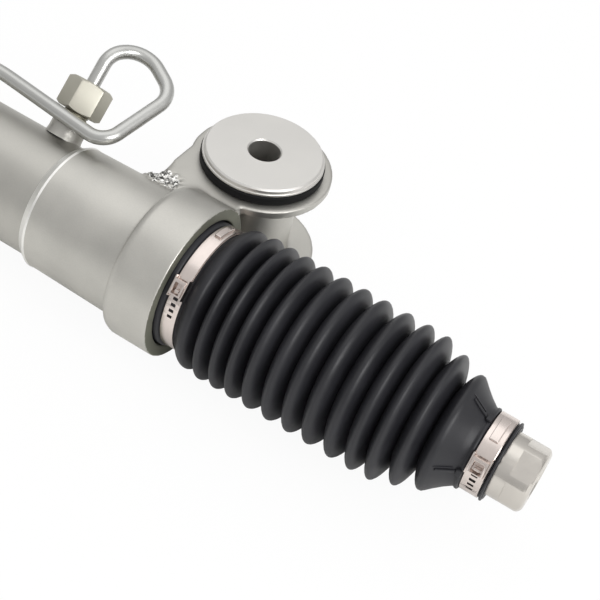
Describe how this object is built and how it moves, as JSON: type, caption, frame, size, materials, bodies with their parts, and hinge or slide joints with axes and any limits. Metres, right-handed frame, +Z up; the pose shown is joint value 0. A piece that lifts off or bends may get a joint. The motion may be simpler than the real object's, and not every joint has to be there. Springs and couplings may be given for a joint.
{
  "type": "steering rack",
  "caption": "Hydraulic rack and pinion steering gear with cylinder, valve, transfer pipes, bushed mounting eyes, bellows boots and inner tie rods",
  "frame": {"origin": "foot of the bolt hole through the bushing of the plain end casting, on the bottom washer's face", "axes": "+X along the rack towards the tie rod beside that bushing, +Y from the rack to the bolt holes, +Z up along the bolt holes and the pinion"},
  "size_m": [0.997, 0.1545, 0.1665],
  "materials": {
    "cast_aluminium": "satin",
    "tube_steel": "satin",
    "rack_steel": "polished",
    "bearing_steel": "polished",
    "spring_steel": "satin",
    "zinc_steel": "satin",
    "band_steel": "satin",
    "washer_steel": "satin",
    "tie_rod_steel": "satin",
    "bushing_rubber": "matt",
    "boot_rubber": "satin",
    "seal_rubber": "matt",
    "bush_bronze": "satin",
    "liner_plastic": "matt"
  },
  "bodies": {
    "housing": {"end_housing": "cast_aluminium", "gear_housing": "cast_aluminium", "cylinder_tube": "tube_steel", "end_port_boss": "tube_steel", "gear_port_boss": "tube_steel", "outer_rack_seal": "seal_rubber", "rack_bush": "bush_bronze", "retaining_ring": "spring_steel", "inner_rack_seal": "seal_rubber", "lower_bearing": "bearing_steel", "upper_bearing": "bush_bronze", "bottom_plug": "zinc_steel", "valve_housing": "cast_aluminium", "input_seal": "seal_rubber", "dust_cap": "seal_rubber", "valve_bolts": "zinc_steel", "rack_yoke": "cast_aluminium", "yoke_spring": "spring_steel", "yoke_plug": "zinc_steel", "yoke_locknut": "zinc_steel", "end_bushing_sleeve": "washer_steel", "end_bushing_rubber": "bushing_rubber", "end_bushing_top_washer": "washer_steel", "end_bushing_bottom_washer": "washer_steel", "gear_bushing_sleeve": "washer_steel", "gear_bushing_rubber": "bushing_rubber", "gear_bushing_top_washer": "washer_steel", "gear_bushing_bottom_washer": "washer_steel", "end_boot": "boot_rubber", "gear_boot": "boot_rubber", "end_large_clamp": "band_steel", "gear_large_clamp": "band_steel", "end_pipe": "tube_steel", "gear_pipe": "tube_steel", "flare_nuts": "zinc_steel"},
    "rack": {"rack_bar": "rack_steel", "piston": "rack_steel", "piston_ring": "liner_plastic", "end_socket": "rack_steel", "gear_socket": "rack_steel"},
    "pinion": {"pinion": "rack_steel", "pinion_nut": "bearing_steel", "torsion_bar": "bearing_steel", "valve_sleeve": "bearing_steel"},
    "input_shaft": {"input_shaft": "rack_steel"},
    "end_ball_seat": {"end_liner": "liner_plastic"},
    "end_neck_band": {"end_small_clamp": "band_steel"},
    "end_tie_rod": {"end_tie_rod": "tie_rod_steel"},
    "gear_ball_seat": {"gear_liner": "liner_plastic"},
    "gear_neck_band": {"gear_small_clamp": "band_steel"},
    "gear_tie_rod": {"gear_tie_rod": "tie_rod_steel"}
  },
  "joints": [
    {"name": "rack_slide", "type": "slide", "parent": "housing", "child": "rack", "axis": [1, 0, 0], "range_m": [-0.075, 0.075], "deforming": ["end_boot", "gear_boot"]},
    {"name": "pinion_turn", "type": "hinge", "parent": "housing", "child": "pinion", "pos_m": [-0.5, -0.04662, 0.0365], "axis": [0, 0, 1], "range_deg": [-546, 546]},
    {"name": "valve_twist", "type": "hinge", "parent": "pinion", "child": "input_shaft", "pos_m": [-0.5, -0.04662, 0.0365], "axis": [0, 0, 1], "range_deg": [-4, 4], "stiffness_Nm_per_rad": 60},
    {"name": "end_rod_sweep", "type": "hinge", "parent": "rack", "child": "end_ball_seat", "pos_m": [0.1, -0.062, 0.0365], "axis": [0, 0, 1], "range_deg": [-20, 20], "deforming": ["end_boot"]},
    {"name": "end_rod_bounce", "type": "hinge", "parent": "end_ball_seat", "child": "end_neck_band", "pos_m": [0.1, -0.062, 0.0365], "axis": [0, 1, 0], "range_deg": [-20, 20]},
    {"name": "end_rod_spin", "type": "hinge", "parent": "end_neck_band", "child": "end_tie_rod", "pos_m": [0.1, -0.062, 0.0365], "axis": [1, 0, 0], "continuous": true},
    {"name": "gear_rod_sweep", "type": "hinge", "parent": "rack", "child": "gear_ball_seat", "pos_m": [-0.741, -0.062, 0.0365], "axis": [0, 0, 1], "range_deg": [-20, 20], "deforming": ["gear_boot"]},
    {"name": "gear_rod_bounce", "type": "hinge", "parent": "gear_ball_seat", "child": "gear_neck_band", "pos_m": [-0.741, -0.062, 0.0365], "axis": [0, 1, 0], "range_deg": [-20, 20]},
    {"name": "gear_rod_spin", "type": "hinge", "parent": "gear_neck_band", "child": "gear_tie_rod", "pos_m": [-0.741, -0.062, 0.0365], "axis": [1, 0, 0], "continuous": true}
  ],
  "couplings": [
    {"joint": "pinion_turn", "follows": "rack_slide", "rad_per_m": 126.98}
  ]
}
